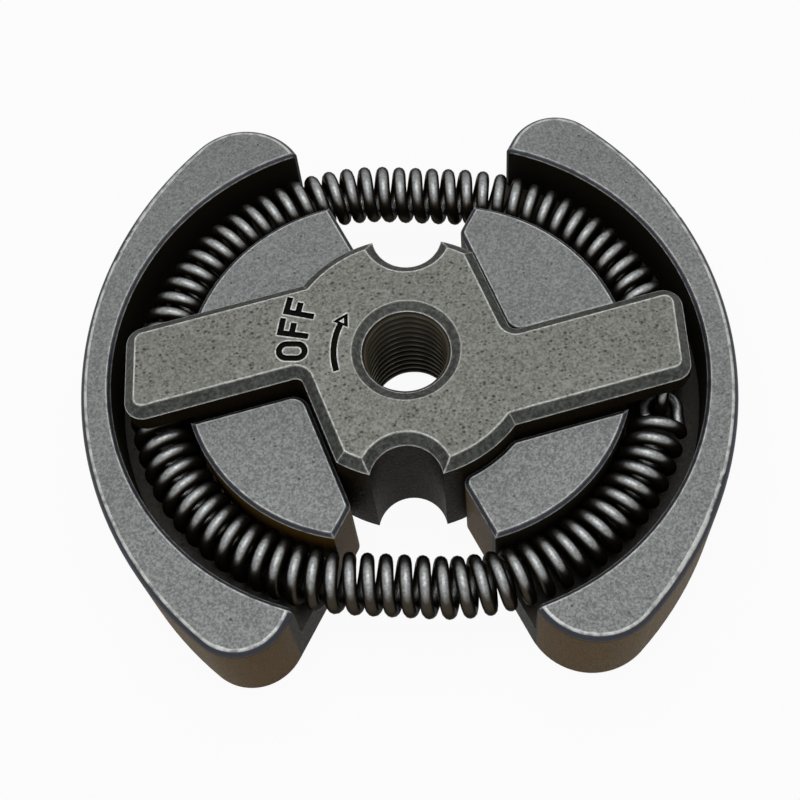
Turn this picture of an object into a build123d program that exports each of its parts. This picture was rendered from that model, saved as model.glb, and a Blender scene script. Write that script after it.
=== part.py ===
from build123d import *
from math import atan2, copysign, cos, degrees, hypot, pi, radians, sin
import os

# Centrifugal clutch of a chainsaw, in millimetres.
# A hub with two drive arms screws on the crankshaft with a left-hand thread.
# Two sintered shoes sit round it and slide outwards along the arms.
# One long coil spring, hooked into a ring, pulls both shoes inwards.
# The origin is on the bore axis in the bottom plane, +Z runs up the bore,
# and +X is the middle line of the right-hand shoe.

# Hub: a thick disc with two slanted flats and two half-round spanner notches
hub_height = 15.0
hub_radius = 12.5
hub_chamfer = 1.0
slant_distance = 10.0
slant_angle = 19.4
notch_distance = 12.65
notch_radius = 3.4
notch_angle = 87.0
bore_radius = 4.2
bore_chamfer = 0.95
bore_chamfer_depth = 0.5
bore_foot_chamfer = 0.6

# Drive arms: their sides lie at arm_angle to the shoes' middle line
arm_angle = 12.2
arm_offset = 0.47
arm_width = 9.35
arm_reach = 26.5
arm_corner = 1.8
arm_root_corner = 0.8
arm_root_place = Vector(10.0, 1.6, 10.0)
plate_bottom = 11.7
key_clearance = 0.4

# Shoes, in the frame of the right-hand one
shoe_height = 12.0
floor_height = 5.2
shoe_shift = -0.45
lining_radius = 35.2
lining_centre = -3.9
groove_centre = 3.7
groove_radius = 24.7
island_radius = 17.7
upper_end_apex = -2.4
upper_end_angle = 60.0
upper_tip_radius = 4.9
lower_end_apex = -1.1
lower_end_angle = 65.0
lower_tip_radius = 6.4
slot_gap = 0.55
hub_gap = 0.2
slot_corner = 1.7
slot_corner_place = (10, 2, 0)
horn_corner = 1.0
horn_place = (9, -9, 0)
rim_edge = 0.8
groove_edge = 0.35
island_edge = 0.4
foot_edge = 0.3

# Marking beside the bore: the way that the hub unscrews
mark_depth = 0.25
mark_stroke = 0.58
letter_height = 3.0
letter_width = 1.85
round_letter_width = 2.05
middle_bar_length = 1.5
middle_bar_rise = 0.1
round_letter_place = (-10.7, 0.65, 85.6)
straight_letter_places = ((-10.45, 3.0, 77.5), (-9.8, 5.1, 74.5))
arrow_radius = 6.8
arrow_start = 194.5
arrow_stop = 153.0
arrow_tip = 141.5
arrow_spread = 0.8
arrow_hollow = 0.26
arrow_hollow_stop = 151.0
arrow_hollow_tip = 146.8

# Ring spring: a hexagon stands for the round wire
wire_radius = 0.64
coil_radius = 2.25
coil_turns = 83
cut_off_turn = 0.75
steps_per_turn = 8
spring_height = 8.3
spring_gap = 0.1
hook_radius = 1.6
hook_centre = 0.8
hook_steps = 6
upright_hook = (-45, -270)
lying_hook = (90, -135)
coil_start = 2.6
joint_angle = -4.0

# Larger than anything that it cuts, and smaller than any step in the shape
far = 60.0
near = 0.05

os.makedirs("parts", exist_ok=True)

arm_middle = -arm_offset - arm_width / 2


def polar(radius, angle):
    """Point at a radius and an angle in degrees."""
    return (radius * cos(radians(angle)), radius * sin(radians(angle)))


def is_arc(edge, radius):
    """True for a round edge of this radius."""
    return edge.geom_type == GeomType.CIRCLE and abs(edge.radius - radius) < near


def top_plane(place):
    """Plane in the hub's top for a letter, from its x, y and turn."""
    x, y, turn = place
    return Plane(origin=(x, y, hub_height), x_dir=(cos(radians(turn)), sin(radians(turn)), 0))


# Hub
with BuildPart() as hub:
    with BuildSketch():
        Circle(hub_radius)
        with PolarLocations(slant_distance + far / 2, 2, start_angle=slant_angle):
            Rectangle(far, far, mode=Mode.SUBTRACT)
    extrude(amount=hub_height)
    # Keys under the arms, which drive the shoes and stay inside the ring spring
    for turn in (0, 180):
        with BuildSketch(Plane.XY.rotated((0, 0, turn)).offset(floor_height + key_clearance)):
            with PolarLocations(0, 1, start_angle=arm_angle):
                with Locations((far / 2, arm_middle)):
                    Rectangle(far, arm_width)
            with Locations((groove_centre, shoe_shift)):
                Circle(island_radius - key_clearance, mode=Mode.INTERSECT)
        extrude(amount=plate_bottom - floor_height - key_clearance)
    # Arms, which reach out over the ring spring
    with BuildSketch(Plane.XY.offset(plate_bottom)):
        with PolarLocations(0, 2, start_angle=arm_angle):
            with Locations((far / 2, arm_middle)):
                Rectangle(far, arm_width)
        Rectangle(2 * arm_reach, far, mode=Mode.INTERSECT)
    extrude(amount=hub_height - plate_bottom)
    upright = hub.edges().filter_by(Axis.Z)
    fillet([e for e in upright if abs(e.center().X) > arm_reach - near], arm_corner)
    for turn in (0, 180):
        root_place = arm_root_place.rotate(Axis.Z, turn)
        root = hub.edges().filter_by(Axis.Z).sort_by_distance(root_place)[0]
        fillet(root, arm_root_corner)
    with BuildSketch():
        with PolarLocations(notch_distance, 2, start_angle=notch_angle):
            Circle(notch_radius)
    extrude(amount=hub_height, mode=Mode.SUBTRACT)
    top = hub.faces().sort_by(Axis.Z)[-1]
    chamfer(top.outer_wire().edges(), hub_chamfer)
    Hole(bore_radius)
    bore_mouths = [e for e in hub.edges().sort_by(Axis.Z) if is_arc(e, bore_radius)]
    top = hub.faces().sort_by(Axis.Z)[-1]
    chamfer(bore_mouths[-1], bore_chamfer, bore_chamfer_depth, reference=top)
    bore_mouths = [e for e in hub.edges().sort_by(Axis.Z) if is_arc(e, bore_radius)]
    chamfer(bore_mouths[0], bore_foot_chamfer)
    # The letters O, F, F and an arrow, sunk into the top
    with BuildSketch(top_plane(round_letter_place)):
        SlotOverall(letter_height, round_letter_width, rotation=90)
        SlotOverall(letter_height - 2 * mark_stroke, round_letter_width - 2 * mark_stroke,
                    rotation=90, mode=Mode.SUBTRACT)
    extrude(amount=-mark_depth, mode=Mode.SUBTRACT)
    for place in straight_letter_places:
        with BuildSketch(top_plane(place)):
            with Locations((-letter_width / 2, 0)):
                Rectangle(mark_stroke, letter_height, align=(Align.MIN, Align.CENTER))
            with Locations((-letter_width / 2, letter_height / 2)):
                Rectangle(letter_width, mark_stroke, align=(Align.MIN, Align.MAX))
            with Locations((-letter_width / 2, middle_bar_rise)):
                Rectangle(middle_bar_length, mark_stroke, align=(Align.MIN, Align.CENTER))
        extrude(amount=-mark_depth, mode=Mode.SUBTRACT)
    with BuildSketch(Plane.XY.offset(hub_height)):
        inner = arrow_radius - mark_stroke / 2
        outer = arrow_radius + mark_stroke / 2
        with BuildLine():
            CenterArc((0, 0), outer, arrow_stop, arrow_start - arrow_stop)
            CenterArc((0, 0), inner, arrow_stop, arrow_start - arrow_stop)
            for angle in (arrow_stop, arrow_start):
                Line(polar(inner, angle), polar(outer, angle))
        make_face()
        with BuildLine():
            Polyline(polar(arrow_radius, arrow_tip),
                     polar(arrow_radius + arrow_spread, arrow_stop),
                     polar(arrow_radius - arrow_spread, arrow_stop), close=True)
        make_face()
        with BuildLine():
            Polyline(polar(arrow_radius, arrow_hollow_tip),
                     polar(arrow_radius + arrow_hollow, arrow_hollow_stop),
                     polar(arrow_radius - arrow_hollow, arrow_hollow_stop), close=True)
        make_face(mode=Mode.SUBTRACT)
    extrude(amount=-mark_depth, mode=Mode.SUBTRACT)

# What the shoe leaves free round the hub: the hub's outline and a gap
with BuildSketch() as hub_pocket:
    Circle(hub_radius + hub_gap)
    with PolarLocations(slant_distance + hub_gap + far / 2, 1, start_angle=slant_angle):
        Rectangle(far, far, mode=Mode.SUBTRACT)
    with PolarLocations(0, 1, start_angle=slant_angle):
        with Locations((slant_distance + hub_gap - far / 2, far / 2)):
            Rectangle(far, far)

# Right-hand shoe, seen from above
with BuildSketch() as shoe_outline:
    with Locations((lining_centre, shoe_shift)):
        Circle(lining_radius)
    for apex, angle in ((upper_end_apex, upper_end_angle), (lower_end_apex, -lower_end_angle)):
        with Locations((apex, shoe_shift)):
            Polygon((0, 0), polar(far, angle), (2 * far, 0), polar(far, angle - copysign(180, angle)),
                    align=None, mode=Mode.INTERSECT)
    fillet(shoe_outline.vertices().sort_by(Axis.Y)[-1], upper_tip_radius)
    fillet(shoe_outline.vertices().sort_by(Axis.Y)[0], lower_tip_radius)
    add(hub_pocket.sketch, mode=Mode.SUBTRACT)
    horns = shoe_outline.vertices().sort_by(Axis.X)
    fillet(horns[0:2], horn_corner)

# Right-hand shoe: a floor, the rim outside the groove and two islands inside it
with BuildPart() as shoe_right:
    add(shoe_outline.sketch)
    extrude(amount=floor_height)
    with BuildSketch(Plane.XY.offset(floor_height)):
        add(shoe_outline.sketch)
        with Locations((groove_centre, shoe_shift)):
            Circle(groove_radius, mode=Mode.SUBTRACT)
    extrude(amount=shoe_height - floor_height)
    with BuildSketch(Plane.XY.offset(floor_height)) as islands:
        add(shoe_outline.sketch)
        with Locations((groove_centre, shoe_shift)):
            Circle(island_radius, mode=Mode.INTERSECT)
        with PolarLocations(0, 1, start_angle=arm_angle):
            with Locations((far / 2, arm_middle)):
                Rectangle(far, arm_width + 2 * slot_gap, mode=Mode.SUBTRACT)
        fillet(islands.vertices().sort_by_distance(slot_corner_place)[0], slot_corner)
        fillet(islands.vertices().sort_by_distance(horn_place)[0], horn_corner)
    extrude(amount=shoe_height - floor_height)
    tops = shoe_right.faces().group_by(Axis.Z)[-1].sort_by(Axis.X)
    fillet([e for e in tops[-1].edges() if not is_arc(e, groove_radius)], rim_edge)
    tops = shoe_right.faces().group_by(Axis.Z)[-1].sort_by(Axis.X)
    chamfer([e for e in tops[-1].edges() if is_arc(e, groove_radius)], groove_edge)
    tops = shoe_right.faces().group_by(Axis.Z)[-1].sort_by(Axis.X)
    chamfer(tops[0].edges() + tops[1].edges(), island_edge)
    foot = shoe_right.faces().sort_by(Axis.Z)[0]
    chamfer([e for e in foot.edges() if e.center().length > island_radius], foot_edge)

# Left-hand shoe: the same piece, turned half round
with BuildPart() as shoe_left:
    add(shoe_right.part, rotation=(0, 0, 180))

# Ring spring: its middle line is two half circles joined by two straight spans
shift_angle = degrees(atan2(shoe_shift, groove_centre))
half_span = hypot(groove_centre, shoe_shift)
ring_radius = island_radius + spring_gap + coil_radius + wire_radius
arc_length = pi * ring_radius
ring_length = 2 * (arc_length + 2 * half_span)
joint_place = ring_radius * radians(90 + joint_angle)


def ring_frame(distance):
    """Plane across the ring's middle line: X outwards, Y up, Z along the line."""
    place = (distance + joint_place) % ring_length
    side = 1
    if place > ring_length / 2:
        place -= ring_length / 2
        side = -1
    if place < arc_length:
        angle = place / ring_radius - pi / 2
        centre = (half_span + ring_radius * cos(angle), ring_radius * sin(angle))
        outwards = (cos(angle), sin(angle))
    else:
        centre = (half_span - (place - arc_length), ring_radius)
        outwards = (0, 1)
    middle = Vector(side * centre[0], side * centre[1], spring_height).rotate(Axis.Z, shift_angle)
    across = Vector(side * outwards[0], side * outwards[1], 0).rotate(Axis.Z, shift_angle)
    return Plane(middle, x_dir=across, z_dir=across.cross(Vector(0, 0, 1)) * -1)


def hook(centre, angles, upright):
    """Points of an open loop along the ring, standing or lying, between two angles."""
    first, last = angles
    points = []
    for i in range(hook_steps + 1):
        angle = radians(first + (last - first) * i / hook_steps)
        frame = ring_frame(centre + hook_radius * cos(angle))
        rise = hook_radius * sin(angle)
        points.append(frame.from_local_coords((0, rise) if upright else (rise, 0)))
    return points


coil_length = ring_length - 2 * coil_start
coil_steps = round((coil_turns - cut_off_turn) * steps_per_turn)
wire_path = hook(hook_centre, upright_hook, True)
for i in range(coil_steps + 1):
    angle = pi / 2 - 2 * pi * i / steps_per_turn
    frame = ring_frame(coil_start + coil_length * i / coil_steps)
    turn_point = (coil_radius * cos(angle), coil_radius * sin(angle))
    wire_path.append(frame.from_local_coords(turn_point))
wire_path += hook(-hook_centre, lying_hook, False)

with BuildPart() as garter_spring:
    with BuildLine():
        Polyline(*wire_path)
    with BuildSketch(Plane(wire_path[0], z_dir=wire_path[1] - wire_path[0])):
        RegularPolygon(wire_radius, 6)
    sweep(transition=Transition.RIGHT)

hub.part.label = "hub"
shoe_right.part.label = "shoe_right"
shoe_left.part.label = "shoe_left"
garter_spring.part.label = "garter_spring"
export_step(hub.part, "parts/hub.step")
export_step(shoe_right.part, "parts/shoe_right.step")
export_step(shoe_left.part, "parts/shoe_left.step")
export_step(garter_spring.part, "parts/garter_spring.step")
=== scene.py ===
from math import atan2, cos, hypot, pi, radians, sin

import bpy
from mathutils import Matrix, Vector


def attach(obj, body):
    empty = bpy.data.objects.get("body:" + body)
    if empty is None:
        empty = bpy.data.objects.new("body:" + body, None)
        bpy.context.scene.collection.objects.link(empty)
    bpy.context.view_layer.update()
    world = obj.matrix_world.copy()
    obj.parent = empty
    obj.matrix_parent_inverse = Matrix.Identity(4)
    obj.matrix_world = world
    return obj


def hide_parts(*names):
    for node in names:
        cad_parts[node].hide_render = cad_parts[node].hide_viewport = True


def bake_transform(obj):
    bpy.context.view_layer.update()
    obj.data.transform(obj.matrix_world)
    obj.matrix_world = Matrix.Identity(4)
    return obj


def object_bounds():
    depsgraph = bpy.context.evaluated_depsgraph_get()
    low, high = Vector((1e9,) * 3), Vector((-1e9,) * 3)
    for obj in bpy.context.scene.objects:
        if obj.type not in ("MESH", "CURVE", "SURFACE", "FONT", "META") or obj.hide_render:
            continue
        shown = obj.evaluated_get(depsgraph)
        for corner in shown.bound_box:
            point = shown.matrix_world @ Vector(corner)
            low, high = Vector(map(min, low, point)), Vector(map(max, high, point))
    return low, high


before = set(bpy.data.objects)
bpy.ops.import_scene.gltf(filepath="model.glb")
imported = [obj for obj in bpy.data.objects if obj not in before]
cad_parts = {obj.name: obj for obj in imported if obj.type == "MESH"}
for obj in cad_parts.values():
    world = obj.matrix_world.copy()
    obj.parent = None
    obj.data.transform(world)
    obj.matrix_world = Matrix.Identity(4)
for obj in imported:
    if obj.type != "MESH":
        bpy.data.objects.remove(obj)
cad_low, cad_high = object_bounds()

# Lengths are in metres, and this turns millimetres into them
mm = 0.001

# Hub and shoes, as the solids have them
hub_height = 15.0 * mm
bore_radius = 4.2 * mm
bore_chamfer = 0.95 * mm
bore_chamfer_depth = 0.5 * mm
bore_foot_chamfer = 0.6 * mm
mark_depth = 0.25 * mm
shoe_height = 12.0 * mm
shoe_shift = -0.45 * mm
groove_centre = 3.7 * mm
groove_middle = 21.6 * mm
groove_half_width = 4.3 * mm
island_radius = 17.7 * mm

# Thread in the bore: left-hand, 24 turns to the inch
thread_pitch = 25.4 * mm / 24
thread_depth = 0.3 * mm
thread_back = 0.05 * mm
thread_sides = 96
thread_rows_per_turn = 10
crest_share = 0.2
root_share = 0.25

# Ring spring, as the solid has it, but of round wire
wire_radius = 0.64 * mm
coil_radius = 2.25 * mm
coil_turns = 82.25
spring_height = 8.3 * mm
spring_gap = 0.1 * mm
hook_radius = 1.6 * mm
hook_centre = 0.8 * mm
upright_hook = (-45, -270)
lying_hook = (90, -135)
coil_start = 2.6 * mm
joint_angle = -4.0
steps_per_turn = 26
wire_sides = 12
hook_step = 12
bend_steps = 10


def new_mesh(name, verts, faces, smooth=True):
    """Object with a mesh of its own, in the scene's collection."""
    mesh = bpy.data.meshes.new(name)
    mesh.from_pydata(verts, [], faces)
    mesh.validate()
    for polygon in mesh.polygons:
        polygon.use_smooth = smooth and len(polygon.vertices) == 4
    obj = bpy.data.objects.new(name, mesh)
    bpy.context.scene.collection.objects.link(obj)
    return obj


# Ring spring
shift_angle = atan2(shoe_shift, groove_centre)
half_span = hypot(groove_centre, shoe_shift)
ring_radius = island_radius + spring_gap + coil_radius + wire_radius
arc_length = pi * ring_radius
ring_length = 2 * (arc_length + 2 * half_span)
joint_place = ring_radius * radians(90 + joint_angle)
turn_ring = Matrix.Rotation(shift_angle, 3, "Z")


def ring_frame(distance):
    """Middle of the coil at a distance along the ring, and its outward direction."""
    place = (distance + joint_place) % ring_length
    side = 1
    if place > ring_length / 2:
        place -= ring_length / 2
        side = -1
    if place < arc_length:
        angle = place / ring_radius - pi / 2
        centre = Vector((half_span + ring_radius * cos(angle), ring_radius * sin(angle), 0))
        outwards = Vector((cos(angle), sin(angle), 0))
    else:
        centre = Vector((half_span - (place - arc_length), ring_radius, 0))
        outwards = Vector((0, 1, 0))
    middle = turn_ring @ (side * centre)
    middle.z = spring_height
    return middle, turn_ring @ (side * outwards)


def coil_point(place):
    """Point of the wire's middle line, place being 0 to 1 along the coil, and its radial direction."""
    middle, outwards = ring_frame(coil_start + (ring_length - 2 * coil_start) * place)
    angle = pi / 2 - 2 * pi * coil_turns * place
    radial = outwards * cos(angle) + Vector((0, 0, sin(angle)))
    return middle + radial * coil_radius, radial


def hook_points(centre, angles, upright):
    """Points of an end hook along the ring, with the directions away from its middle."""
    first, last = angles
    count = round(abs(last - first) / hook_step)
    middle = ring_frame(centre)[0]
    points = []
    for i in range(count + 1):
        angle = radians(first + (last - first) * i / count)
        place, outwards = ring_frame(centre + hook_radius * cos(angle))
        rise = Vector((0, 0, 1)) if upright else outwards
        point = place + rise * (hook_radius * sin(angle))
        points.append((point, (point - middle).normalized()))
    return points


def bend(before, after):
    """Smooth points between the end of one run and the start of the next."""
    (p0, r0), (p1, r1) = before[-1], after[0]
    reach = (p1 - p0).length
    t0 = (p0 - before[-2][0]).normalized() * reach
    t1 = (after[1][0] - p1).normalized() * reach
    points = []
    for i in range(1, bend_steps):
        t = i / bend_steps
        point = ((2 * t ** 3 - 3 * t ** 2 + 1) * p0 + (t ** 3 - 2 * t ** 2 + t) * t0
                 + (3 * t ** 2 - 2 * t ** 3) * p1 + (t ** 3 - t ** 2) * t1)
        points.append((point, r0.lerp(r1, t)))
    return points


def wire_mesh(name, runs):
    """Round wire along each run of points, closed at both ends."""
    verts, faces = [], []
    for run in runs:
        first = len(verts)
        for i, (point, radial) in enumerate(run):
            tangent = (run[min(i + 1, len(run) - 1)][0] - run[max(i - 1, 0)][0]).normalized()
            across = (radial - tangent * radial.dot(tangent)).normalized()
            other = tangent.cross(across)
            for k in range(wire_sides):
                angle = 2 * pi * k / wire_sides
                verts.append(point + (across * cos(angle) + other * sin(angle)) * wire_radius)
        for i in range(len(run) - 1):
            for k in range(wire_sides):
                a = first + i * wire_sides + k
                b = first + i * wire_sides + (k + 1) % wire_sides
                faces.append((a, b, b + wire_sides, a + wire_sides))
        faces.append(tuple(reversed(range(first, first + wire_sides))))
        faces.append(tuple(range(len(verts) - wire_sides, len(verts))))
    return new_mesh(name, verts, faces)


coil_count = round(coil_turns * steps_per_turn)
coil = [coil_point(i / coil_count) for i in range(coil_count + 1)]


def coil_index(distance):
    """Index of the coil's point at a distance along the ring."""
    return round((distance - coil_start) / (ring_length - 2 * coil_start) * coil_count)


far_cut = coil_index(arc_length + half_span - joint_place)
near_cut = coil_index(ring_length - half_span - joint_place)
first_hook = hook_points(hook_centre, upright_hook, True)
last_hook = hook_points(-hook_centre, lying_hook, False)
far_run = first_hook + bend(first_hook, coil) + coil[:far_cut + 1]
near_run = coil[near_cut:] + bend(coil, last_hook) + last_hook
spring_right = wire_mesh("spring_right_half", [far_run, near_run])
spring_left = wire_mesh("spring_left_half", [coil[far_cut:near_cut + 1]])
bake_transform(spring_right)
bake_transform(spring_left)


# Thread in the bore
def thread_radius(angle, height):
    """Radius of the left-hand thread, which both mouths of the bore cut off as cones."""
    phase = (height / thread_pitch + angle / (2 * pi)) % 1
    from_crest = abs(phase - 0.5)
    slope = (from_crest - crest_share / 2) / (0.5 - crest_share / 2 - root_share / 2)
    radius = bore_radius - thread_depth * (1 - min(1, max(0, slope)))
    from_top = height - (hub_height - bore_chamfer_depth)
    top_cone = bore_radius + from_top * bore_chamfer / bore_chamfer_depth
    foot_cone = bore_radius + bore_foot_chamfer - height
    return min(bore_radius, max(radius, top_cone, foot_cone))


def make_thread():
    """Sleeve with the thread on its inside; its plain outside is buried in the hub."""
    bottom = bore_foot_chamfer
    top = hub_height - bore_chamfer_depth
    rows = round((top - bottom) / thread_pitch * thread_rows_per_turn)
    verts, faces = [], []
    for i in range(rows + 1):
        height = bottom + (top - bottom) * i / rows
        for k in range(thread_sides):
            angle = 2 * pi * k / thread_sides
            radius = thread_radius(angle, height)
            verts.append((radius * cos(angle), radius * sin(angle), height))
    for height in (top, bottom):
        for k in range(thread_sides):
            angle = 2 * pi * k / thread_sides
            radius = bore_radius + thread_back
            verts.append((radius * cos(angle), radius * sin(angle), height))
    for i in range(rows + 3):
        for k in range(thread_sides):
            a = i * thread_sides + k
            b = i * thread_sides + (k + 1) % thread_sides
            c = (i + 1) % (rows + 3) * thread_sides
            faces.append((b, a, c + k, c + (k + 1) % thread_sides))
    return new_mesh("bore_thread", verts, faces, smooth=False)


thread = make_thread()
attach(thread, "hub")


# Materials: a few helpers that add nodes and link them
noise_roughness = 0.6
bevel_samples = 6


class Nodes:
    """Node tree of one material, with short calls for the nodes used here."""

    def __init__(self, name):
        self.material = bpy.data.materials.new(name)
        self.material.use_nodes = True
        self.tree = self.material.node_tree
        self.shader = self.tree.nodes["Principled BSDF"]
        coords = self.tree.nodes.new("ShaderNodeTexCoord")
        self.place = coords.outputs["Object"]
        split = self.add("ShaderNodeSeparateXYZ", Vector=coords.outputs["Normal"])
        self.up = split.outputs["Z"]
        split = self.add("ShaderNodeSeparateXYZ", Vector=self.place)
        self.x, self.y, self.z = split.outputs

    def add(self, kind, **inputs):
        """New node with its inputs set or linked by name."""
        node = self.tree.nodes.new(kind)
        for key, value in inputs.items():
            self.link(value, node.inputs[key.replace("_", " ")])
        return node

    def link(self, value, socket):
        """Links an output to a socket, or writes a plain value to it."""
        if isinstance(value, bpy.types.NodeSocket):
            self.tree.links.new(value, socket)
        else:
            socket.default_value = value

    def math(self, operation, a, b=0.0):
        """Result of a sum on one or two numbers."""
        node = self.tree.nodes.new("ShaderNodeMath")
        node.operation = operation
        self.link(a, node.inputs[0])
        self.link(b, node.inputs[1])
        return node.outputs[0]

    def times(self, *factors):
        """Product of two or more numbers."""
        product = factors[0]
        for factor in factors[1:]:
            product = self.math("MULTIPLY", product, factor)
        return product

    def distance(self, x, y):
        """Distance in the plane from the point where x and y are 0."""
        squares = [self.math("POWER", side, 2.0) for side in (x, y)]
        return self.math("SQRT", self.math("ADD", *squares))

    def ramp(self, value, low, high, to_low=0.0, to_high=1.0):
        """Value taken smoothly from one range to another."""
        node = self.add("ShaderNodeMapRange", Value=value, From_Min=low, From_Max=high,
                        To_Min=to_low, To_Max=to_high)
        node.interpolation_type = "SMOOTHSTEP"
        return node.outputs["Result"]

    def mix(self, factor, a, b, blend="MIX"):
        """Two colours mixed by a factor."""
        node = self.tree.nodes.new("ShaderNodeMix")
        node.data_type = "RGBA"
        node.blend_type = blend
        self.link(factor, node.inputs["Factor"])
        self.link(a, node.inputs[6])
        self.link(b, node.inputs[7])
        return node.outputs[2]

    def noise(self, size, detail=3.0):
        """Cloudy noise whose patches are about size long."""
        scaled = self.add("ShaderNodeMapping", Vector=self.place)
        scaled.inputs["Scale"].default_value = [1 / size] * 3
        node = self.add("ShaderNodeTexNoise", Vector=scaled.outputs[0], Scale=1.0,
                        Detail=detail, Roughness=noise_roughness)
        return node.outputs["Fac"]

    def pores(self, spacing, share, width, stretch=(1, 1, 1)):
        """Dark specks: 1 in a pore, 0 outside, with pores in a share of all cells."""
        scaled = self.add("ShaderNodeMapping", Vector=self.place)
        scaled.inputs["Scale"].default_value = [s / spacing for s in stretch]
        cells = self.add("ShaderNodeTexVoronoi", Vector=scaled.outputs[0], Scale=1.0)
        split = self.add("ShaderNodeSeparateColor", Color=cells.outputs["Color"])
        chosen = self.ramp(split.outputs["Red"], 1 - share, 1 - share * 0.4)
        near = self.ramp(cells.outputs["Distance"], width, width * 0.35)
        return self.times(chosen, near)

    def edges(self, radius, low, high):
        """1 on a sharp edge and 0 on flat faces."""
        rounded = self.add("ShaderNodeBevel", Radius=radius)
        rounded.samples = bevel_samples
        flat = self.tree.nodes.new("ShaderNodeNewGeometry")
        dot = self.tree.nodes.new("ShaderNodeVectorMath")
        dot.operation = "DOT_PRODUCT"
        self.link(rounded.outputs[0], dot.inputs[0])
        self.link(flat.outputs["Normal"], dot.inputs[1])
        away = self.math("SUBTRACT", 1.0, dot.outputs["Value"])
        return self.ramp(away, low, high)

    def bump(self, height, distance, strength):
        """Raises the surface by a height from 0 to 1 times a distance."""
        node = self.add("ShaderNodeBump", Height=height)
        node.inputs["Distance"].default_value = distance
        node.inputs["Strength"].default_value = strength
        self.link(node.outputs[0], self.shader.inputs["Normal"])


def colour(red, green, blue):
    """Linear colour of an sRGB one given from 0 to 255."""
    return [((c / 255 + 0.055) / 1.055) ** 2.4 for c in (red, green, blue)] + [1.0]


hub_top = colour(108, 108, 102)
# Painted dark reflection on the hub's slanted edges
hub_edge_reflection_dark = colour(44, 45, 42)
hub_edge_reflection_pale = colour(82, 85, 81)
# Painted brown reflection and shade on the hub's upright walls
hub_wall_reflection_and_shade = colour(29, 23, 14)
hub_pore = colour(36, 35, 31)
mark_dark = colour(12, 11, 9)
# Painted highlight on edges that face upwards
edge_highlight_colour = colour(208, 210, 206)
shoe_top = colour(108, 111, 110)
# Painted blue-black reflection on the shoes' rounded edges
shoe_edge_reflection = colour(46, 49, 58)
# Painted brown reflection and shade on the shoes' upright walls
shoe_wall_reflection_and_shade = colour(86, 65, 26)
# Painted shade in the shoes' groove, partly its oil and oxide
groove_oil_and_shade = colour(33, 31, 24)
wire_dark = colour(58, 53, 45)
# Painted highlight on the top of each spring turn
wire_highlight = colour(150, 153, 154)
# Painted shade in the thread's groove, and a painted highlight on its crest
thread_root_shade = colour(24, 21, 15)
thread_crest_highlight = colour(92, 85, 66)


def grey(n, shade):
    """Grey colour of a shade."""
    return n.add("ShaderNodeCombineColor", Red=shade, Green=shade, Blue=shade).outputs[0]


def satin(n, is_wall):
    """Half-metal shine on the tops, and next to none on the walls."""
    n.link(n.ramp(is_wall, 0.0, 1.0, 0.5, 0.0), n.shader.inputs["Metallic"])
    n.link(n.ramp(is_wall, 0.0, 1.0, 0.5, 0.03), n.shader.inputs["Specular IOR Level"])


def hub_material():
    """Porous sintered steel, with a painted dark reflection on the slanted edges, a painted brown
    reflection and shade on the walls, painted highlights on upward-facing edges, and dark marks.
    """
    n = Nodes("hub sintered steel")
    cloud = n.ramp(n.noise(9 * mm), 0.3, 0.7, 0.94, 1.06)
    grain = n.ramp(n.noise(0.24 * mm, detail=4.0), 0.3, 0.7, 0.7, 1.28)
    top = n.mix(1.0, hub_top, grey(n, n.times(cloud, grain)), "MULTIPLY")
    small = n.pores(0.42 * mm, 0.6, 0.4, (1, 1.3, 1))
    large = n.pores(0.72 * mm, 0.6, 0.33, (1, 1.3, 1))
    pore = n.math("MAXIMUM", n.times(small, 0.7), n.times(large, 0.9))
    top = n.mix(pore, top, hub_pore)
    # Flat faces, slanted edges and upright walls are told apart by their direction; the slanted edges
    # get a mottled painted dark reflection
    is_top = n.ramp(n.up, 0.9, 0.98)
    is_wall = n.ramp(n.up, 0.45, 0.2)
    mottled = n.ramp(n.noise(0.45 * mm, detail=4.0), 0.35, 0.7)
    steel = n.mix(is_top, n.mix(mottled, hub_edge_reflection_dark, hub_edge_reflection_pale), top)
    # Painted brown reflection and shade on the upright walls
    steel = n.mix(is_wall, steel, hub_wall_reflection_and_shade)
    # Painted highlight: bright patchy lines on the edges that face upwards
    highlight_patches = n.ramp(n.noise(0.6 * mm), 0.3, 0.6, 0.4, 1.0)
    edge_highlight = n.times(n.edges(0.28 * mm, 0.003, 0.035), highlight_patches, n.ramp(n.up, 0.1, 0.5))
    # The sunk marks lie just under the top
    below_top = n.math("LESS_THAN", n.z, hub_height - 0.03 * mm)
    above_floor = n.math("GREATER_THAN", n.z, hub_height - mark_depth - 0.05 * mm)
    flat_or_wall = n.math("MAXIMUM", is_top, is_wall)
    off_bore = n.math("GREATER_THAN", n.distance(n.x, n.y), bore_radius + 1.5 * mm)
    mark = n.times(below_top, above_floor, flat_or_wall, off_bore)
    steel = n.mix(edge_highlight, steel, edge_highlight_colour)
    steel = n.mix(mark, steel, mark_dark)
    n.link(steel, n.shader.inputs["Base Color"])
    n.link(n.ramp(grain, 0.7, 1.28, 0.6, 0.46), n.shader.inputs["Roughness"])
    satin(n, n.math("MAXIMUM", is_wall, mark))
    n.bump(n.math("SUBTRACT", n.times(grain, 0.35), pore), 0.05 * mm, 0.8)
    return n.material


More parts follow.
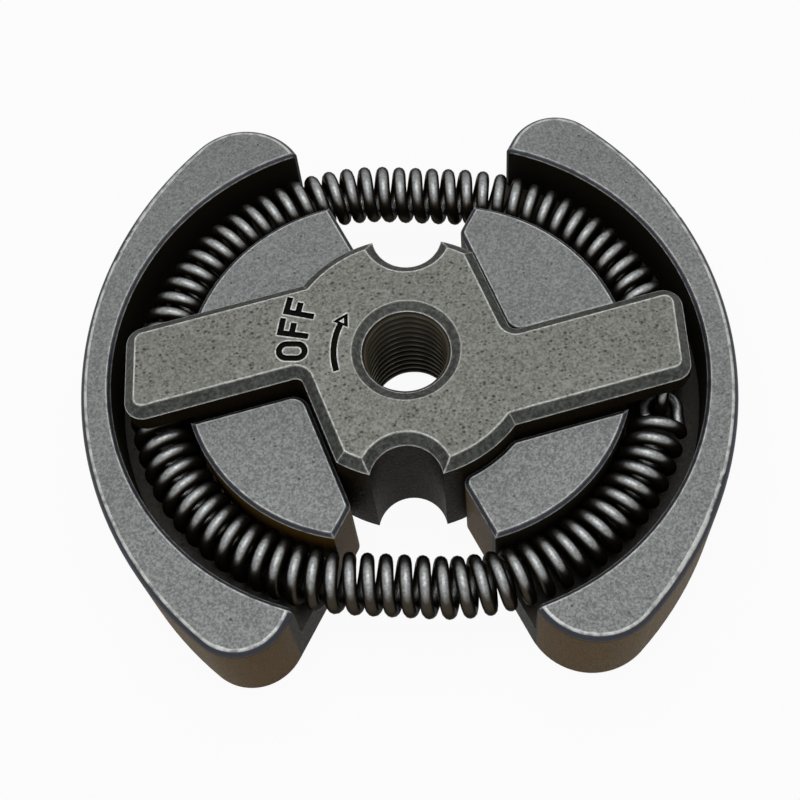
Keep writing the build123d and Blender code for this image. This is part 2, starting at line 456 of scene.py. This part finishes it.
def shoe_material():
    """Finer sintered steel, with a painted blue-black reflection on the rounded edges, a painted brown
    reflection and shade on the walls, and painted highlights on edges.
    """
    n = Nodes("shoe sintered steel")
    cloud = n.ramp(n.noise(8 * mm), 0.3, 0.7, 0.95, 1.05)
    grain = n.ramp(n.noise(0.22 * mm, detail=4.0), 0.3, 0.7, 0.7, 1.3)
    top = n.mix(1.0, shoe_top, grey(n, n.times(cloud, grain)), "MULTIPLY")
    pore = n.pores(0.7 * mm, 0.35, 0.24)
    top = n.mix(n.times(pore, 0.7), top, hub_pore)
    is_top = n.ramp(n.up, 0.9, 0.98)
    is_wall = n.ramp(n.up, 0.4, 0.15)
    # The rounded edges get a painted blue-black reflection
    steel = n.mix(is_top, shoe_edge_reflection, top)
    # Painted brown reflection and shade on the upright walls
    steel = n.mix(is_wall, steel, shoe_wall_reflection_and_shade)
    # Painted highlight: a bright patchy band where the rounded edge of the rim begins, and on the
    # islands' upward-facing edges
    bend = n.times(n.ramp(n.up, 0.84, 0.92), n.ramp(n.up, 0.998, 0.98))
    chamfered = n.times(n.edges(0.3 * mm, 0.003, 0.05), n.ramp(n.up, 0.5, 0.8))
    highlight_patches = n.ramp(n.noise(0.9 * mm), 0.3, 0.6, 0.25, 0.85)
    edge_highlight = n.times(n.math("MAXIMUM", bend, chamfered), highlight_patches)
    steel = n.mix(edge_highlight, steel, edge_highlight_colour)
    # The groove between rim and islands is darker than the outside: painted shade in the recess,
    # partly its oil and oxide
    along = n.math("SUBTRACT", n.math("ABSOLUTE", n.x), groove_centre)
    from_groove = n.distance(along, n.y)
    in_groove = n.math("ABSOLUTE", n.math("SUBTRACT", from_groove, groove_middle))
    inside = n.ramp(in_groove, groove_half_width, groove_half_width - 0.4 * mm)
    sunk = n.ramp(n.z, shoe_height - 0.3 * mm, shoe_height - 0.6 * mm)
    steel = n.mix(n.times(inside, sunk), steel, groove_oil_and_shade)
    n.link(steel, n.shader.inputs["Base Color"])
    n.link(n.ramp(grain, 0.7, 1.3, 0.58, 0.44), n.shader.inputs["Roughness"])
    satin(n, is_wall)
    n.bump(n.math("SUBTRACT", n.times(grain, 0.4), pore), 0.035 * mm, 0.7)
    return n.material


def spring_material():
    """Dark drawn wire, with a painted highlight on the top of each turn."""
    n = Nodes("dark spring wire")
    n.shader.inputs["Metallic"].default_value = 0.9
    n.shader.inputs["Specular Tint"].default_value = (0.25, 0.25, 0.25, 1)
    # Painted highlight: paler streaks where the wire faces upwards
    streak = n.ramp(n.noise(0.3 * mm), 0.3, 0.7, 0.55, 1.0)
    highlight_patches = n.times(n.ramp(n.up, 0.6, 0.98), streak)
    n.link(n.mix(highlight_patches, wire_dark, wire_highlight), n.shader.inputs["Base Color"])
    n.link(n.ramp(n.noise(0.25 * mm), 0.3, 0.7, 0.28, 0.42), n.shader.inputs["Roughness"])
    return n.material


def thread_material():
    """Bore thread with painted shade, near black, in its groove and a painted brown highlight on its
    crest.
    """
    n = Nodes("bore thread painted shade and highlight")
    # Painted shade in the thread's groove and a painted highlight on its crest, by distance from the
    # axis
    from_axis = n.distance(n.x, n.y)
    crest = n.ramp(from_axis, bore_radius - 0.1 * mm, bore_radius - thread_depth)
    n.link(n.mix(crest, thread_root_shade, thread_crest_highlight), n.shader.inputs["Base Color"])
    n.shader.inputs["Specular IOR Level"].default_value = 0.2
    n.shader.inputs["Roughness"].default_value = 0.5
    return n.material


def dress(obj, material):
    """Gives an object one material."""
    obj.data.materials.clear()
    obj.data.materials.append(material)


spring_steel = spring_material()
for half in (spring_right, spring_left):
    dress(half, spring_steel)
    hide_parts("garter_spring")
dress(thread, thread_material())
hub_steel = hub_material()
shoe_steel = shoe_material()
for node, material in (("hub", hub_steel), ("shoe_right", shoe_steel), ("shoe_left", shoe_steel)):
    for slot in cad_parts[node].material_slots:
        slot.material = material

# Floor: white to the eye, with a faint shadow
floor_size = 3.0
floor_shadow = 0.06
floor_colour = (0.85, 0.85, 0.85, 1)
floor_low = cad_low.z - 0.02 * mm


def seen_directly(tree):
    """1 for rays from the camera and for rays that left a mirroring or clear surface."""
    light_path = tree.nodes.new("ShaderNodeLightPath")
    result = light_path.outputs["Is Camera Ray"]
    for ray in ("Is Glossy Ray", "Is Transmission Ray"):
        either = tree.nodes.new("ShaderNodeMath")
        either.operation = "ADD"
        either.use_clamp = True
        tree.links.new(result, either.inputs[0])
        tree.links.new(light_path.outputs[ray], either.inputs[1])
        result = either.outputs[0]
    return result


def make_floor():
    """Large pale floor under the clutch."""
    s = floor_size
    corners = [(-s, -s, floor_low), (s, -s, floor_low), (s, s, floor_low), (-s, s, floor_low)]
    floor = new_mesh("floor", corners, [(0, 1, 2, 3)])
    material = bpy.data.materials.new("pale floor")
    material.use_nodes = True
    tree = material.node_tree
    tree.nodes.clear()
    diffuse = tree.nodes.new("ShaderNodeBsdfDiffuse")
    diffuse.inputs["Color"].default_value = floor_colour
    white = tree.nodes.new("ShaderNodeEmission")
    white.inputs["Strength"].default_value = 1.0
    seen = tree.nodes.new("ShaderNodeMath")
    seen.operation = "MULTIPLY"
    tree.links.new(seen_directly(tree), seen.inputs[0])
    seen.inputs[1].default_value = 1 - floor_shadow
    mixed = tree.nodes.new("ShaderNodeMixShader")
    tree.links.new(seen.outputs[0], mixed.inputs[0])
    tree.links.new(diffuse.outputs[0], mixed.inputs[1])
    tree.links.new(white.outputs[0], mixed.inputs[2])
    output = tree.nodes.new("ShaderNodeOutputMaterial")
    tree.links.new(mixed.outputs[0], output.inputs["Surface"])
    floor.data.materials.append(material)


make_floor()

# World: white to the eye, a low even light otherwise
world_light = 0.25


def make_world():
    """Even light from all round, and a white background."""
    world = bpy.data.worlds.new("studio")
    world.use_nodes = True
    tree = world.node_tree
    background = tree.nodes["Background"]
    background.inputs["Color"].default_value = (1, 1, 1, 1)
    strength = tree.nodes.new("ShaderNodeMapRange")
    tree.links.new(seen_directly(tree), strength.inputs["Value"])
    strength.inputs["To Min"].default_value = world_light
    strength.inputs["To Max"].default_value = 1.0
    tree.links.new(strength.outputs["Result"], background.inputs["Strength"])
    bpy.context.scene.world = world


make_world()


def area_light(name, place, size, power):
    """Soft square lamp that points at the clutch."""
    data = bpy.data.lights.new(name, "AREA")
    data.size = size
    data.energy = power
    lamp = bpy.data.objects.new(name, data)
    bpy.context.scene.collection.objects.link(lamp)
    lamp.location = place
    lamp.rotation_euler = (-Vector(place)).to_track_quat("-Z", "Y").to_euler()


area_light("softbox above", (0.0, 0.04, 0.3), size=0.24, power=0.4)
area_light("softbox in front", (-0.05, -0.3, 0.35), size=0.2, power=0.1)

# Camera, as the photograph was taken: a crop from beside the picture's middle
focal_pixels = 1562.0
frame_pixels = 800
sensor_width = 36.0
centre_pixel = (450, 290)
camera_azimuth = 0.81
camera_elevation = 62.6
camera_roll = -3.24
camera_distance = 159.1 * mm
camera_aim = Vector((4.58, 10.59, 6.0)) * mm
nearest_seen = 0.01
farthest_seen = 20.0


def make_camera():
    """Camera at the photograph's angle and distance."""
    data = bpy.data.cameras.new("camera")
    data.sensor_width = sensor_width
    data.lens = focal_pixels / frame_pixels * sensor_width
    data.shift_x = (frame_pixels / 2 - centre_pixel[0]) / frame_pixels
    data.shift_y = (centre_pixel[1] - frame_pixels / 2) / frame_pixels
    data.clip_start = nearest_seen
    data.clip_end = farthest_seen
    azimuth = radians(camera_azimuth)
    elevation = radians(camera_elevation)
    back = Vector((-sin(azimuth) * cos(elevation), -cos(azimuth) * cos(elevation), sin(elevation)))
    camera = bpy.data.objects.new("camera", data)
    bpy.context.scene.collection.objects.link(camera)
    camera.location = camera_aim + back * camera_distance
    roll = Matrix.Rotation(radians(camera_roll), 3, "Z")
    camera.rotation_euler = ((-back).to_track_quat("-Z", "Y").to_matrix() @ roll).to_euler()
    bpy.context.scene.camera = camera


make_camera()
bpy.context.scene.view_settings.view_transform = "Standard"
